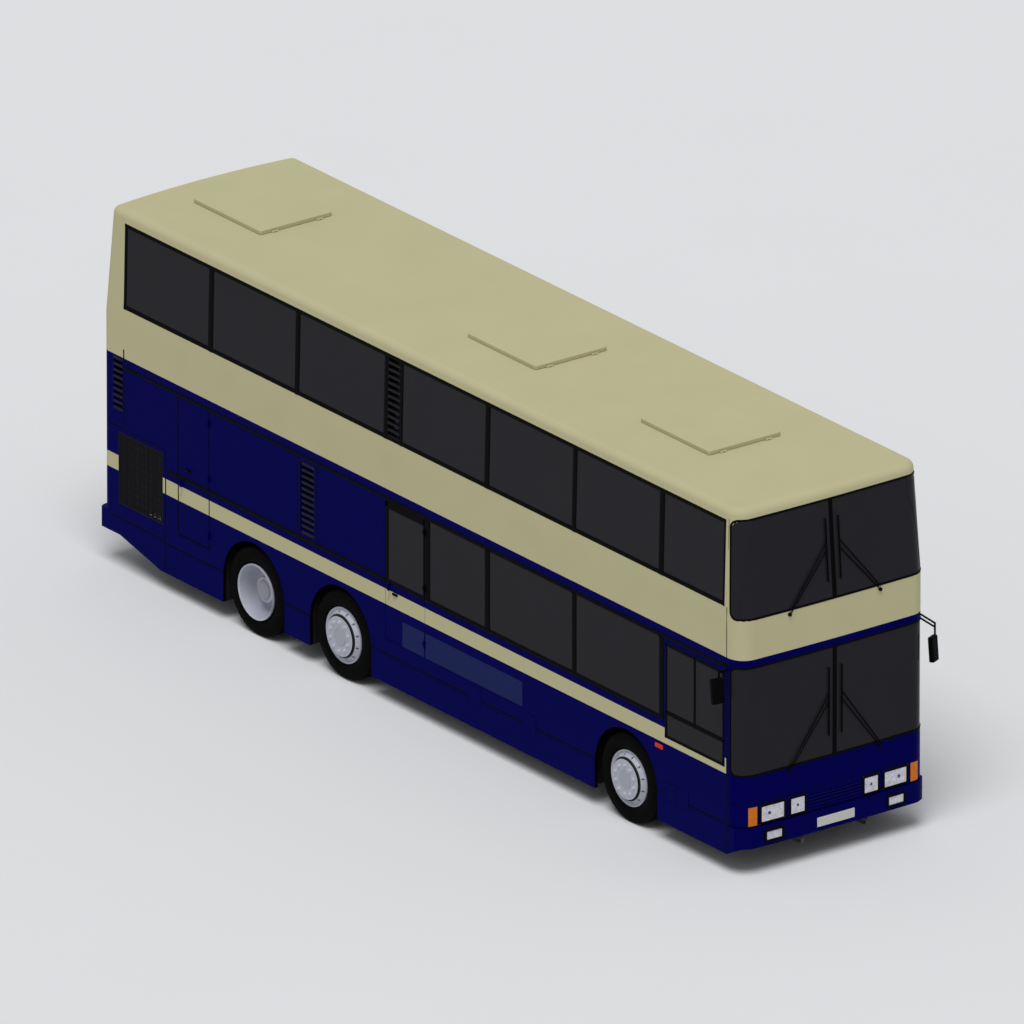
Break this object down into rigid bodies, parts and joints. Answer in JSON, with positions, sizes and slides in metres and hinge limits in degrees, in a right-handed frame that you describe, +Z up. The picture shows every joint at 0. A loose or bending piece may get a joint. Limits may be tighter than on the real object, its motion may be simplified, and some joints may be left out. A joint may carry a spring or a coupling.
{
  "type": "double-decker bus",
  "caption": "Three-axle double-decker coach with steered front wheels, twin rear wheels, hinged doors, rear engine lid and roof hatches.",
  "frame": {"origin": "on the ground, on the centreline, midway between the bumpers", "axes": "+Z up, front towards -Y, kerb (left) side towards +X"},
  "size_m": [2.91, 11.49, 4.196],
  "materials": {
    "blue_paint": "gloss dark blue coach paint",
    "cream_paint": "gloss cream coach paint",
    "tinted_glass": "dark tinted toughened glass",
    "lamp_lens": "clear moulded lamp lens",
    "black_trim": "matt black",
    "floor_board": "covered board",
    "seat_cloth": "patterned moquette",
    "chassis_paint": "black chassis paint",
    "engine_iron": "painted casting",
    "tyre_rubber": "black rubber",
    "rim_silver": "silver wheel paint"
  },
  "bodies": {
    "body": {"right_lower_side": "blue_paint", "left_lower_side": "blue_paint", "right_upper_side": "cream_paint", "left_upper_side": "cream_paint", "side_glass": "tinted_glass", "screens": "tinted_glass", "side_louvres": "blue_paint", "grilles": "black_trim", "lamps": "lamp_lens", "front_lower_panel": "blue_paint", "front_upper_panel": "cream_paint", "bumpers": "blue_paint", "rear_lower_panel": "blue_paint", "rear_upper_panel": "cream_paint", "roof_panel": "cream_paint", "wheel_boxes": "black_trim", "lower_floors": "floor_board", "upper_floor": "floor_board", "bulkheads": "floor_board", "stairs": "floor_board", "dashboard": "black_trim", "steering_wheel": "black_trim", "upper_seats": "seat_cloth", "lower_seats": "seat_cloth", "chassis_frame": "chassis_paint", "axles": "chassis_paint", "suspension": "chassis_paint", "engine": "engine_iron", "fuel_tank": "chassis_paint", "mirrors": "black_trim", "wipers": "black_trim"},
    "right_steering": {"right_knuckle": "chassis_paint"},
    "left_steering": {"left_knuckle": "chassis_paint"},
    "front_right_wheel": {"front_right_tyre": "tyre_rubber", "front_right_rim": "rim_silver"},
    "front_left_wheel": {"front_left_tyre": "tyre_rubber", "front_left_rim": "rim_silver"},
    "middle_right_wheel": {"middle_right_tyre": "tyre_rubber", "middle_right_rim": "rim_silver"},
    "middle_left_wheel": {"middle_left_tyre": "tyre_rubber", "middle_left_rim": "rim_silver"},
    "rear_right_wheel": {"rear_right_tyres": "tyre_rubber", "rear_right_rims": "rim_silver"},
    "rear_left_wheel": {"rear_left_tyres": "tyre_rubber", "rear_left_rims": "rim_silver"},
    "emergency_door": {"emergency_door": "blue_paint", "emergency_door_glass": "tinted_glass"},
    "entrance_door": {"entrance_door": "blue_paint", "entrance_door_glass": "tinted_glass"},
    "locker_door": {"locker_door": "blue_paint"},
    "engine_lid": {"engine_lid": "blue_paint"},
    "front_hatch": {"front_hatch": "cream_paint"},
    "middle_hatch": {"middle_hatch": "cream_paint"},
    "rear_hatch": {"rear_hatch": "cream_paint"}
  },
  "joints": [
    {"name": "steer_right", "type": "hinge", "parent": "body", "child": "right_steering", "pos_m": [-0.895, -3.711, 0.5], "axis": [0, 0, 1], "range_deg": [-38, 38]},
    {"name": "steer_left", "type": "hinge", "parent": "body", "child": "left_steering", "pos_m": [0.895, -3.711, 0.5], "axis": [0, 0, 1], "range_deg": [-38, 38]},
    {"name": "front_right_spin", "type": "hinge", "parent": "right_steering", "child": "front_right_wheel", "pos_m": [-1.085, -3.711, 0.5], "axis": [1, 0, 0], "continuous": true},
    {"name": "front_left_spin", "type": "hinge", "parent": "left_steering", "child": "front_left_wheel", "pos_m": [1.085, -3.711, 0.5], "axis": [1, 0, 0], "continuous": true},
    {"name": "middle_right_spin", "type": "hinge", "parent": "body", "child": "middle_right_wheel", "pos_m": [-1.085, 1.355, 0.5], "axis": [1, 0, 0], "continuous": true},
    {"name": "middle_left_spin", "type": "hinge", "parent": "body", "child": "middle_left_wheel", "pos_m": [1.085, 1.355, 0.5], "axis": [1, 0, 0], "continuous": true},
    {"name": "rear_right_spin", "type": "hinge", "parent": "body", "child": "rear_right_wheel", "pos_m": [-1.085, 2.91, 0.5], "axis": [1, 0, 0], "continuous": true},
    {"name": "rear_left_spin", "type": "hinge", "parent": "body", "child": "rear_left_wheel", "pos_m": [1.085, 2.91, 0.5], "axis": [1, 0, 0], "continuous": true},
    {"name": "emergency_door_hinge", "type": "hinge", "parent": "body", "child": "emergency_door", "pos_m": [-1.262, -0.151, 1.5], "axis": [0, 0, 1], "range_deg": [0, 95]},
    {"name": "locker_door_hinge", "type": "hinge", "parent": "body", "child": "locker_door", "pos_m": [-1.262, 3.712, 1.5], "axis": [0, 0, 1], "range_deg": [0, 95]},
    {"name": "entrance_door_hinge", "type": "hinge", "parent": "body", "child": "entrance_door", "pos_m": [1.262, -5.418, 1.3], "axis": [0, 0, -1], "range_deg": [0, 90]},
    {"name": "engine_lid_hinge", "type": "hinge", "parent": "body", "child": "engine_lid", "pos_m": [0, 5.697, 1.653], "axis": [1, 0, 0], "range_deg": [0, 75]},
    {"name": "front_hatch_hinge", "type": "hinge", "parent": "body", "child": "front_hatch", "pos_m": [0, -4.159, 4.157], "axis": [1, 0, 0], "range_deg": [0, 60]},
    {"name": "middle_hatch_hinge", "type": "hinge", "parent": "body", "child": "middle_hatch", "pos_m": [0, -1.099, 4.157], "axis": [1, 0, 0], "range_deg": [0, 60]},
    {"name": "rear_hatch_hinge", "type": "hinge", "parent": "body", "child": "rear_hatch", "pos_m": [0, 3.801, 4.157], "axis": [1, 0, 0], "range_deg": [0, 60]}
  ],
  "couplings": [
    {"joint": "steer_left", "follows": "steer_right", "ratio": 1}
  ]
}
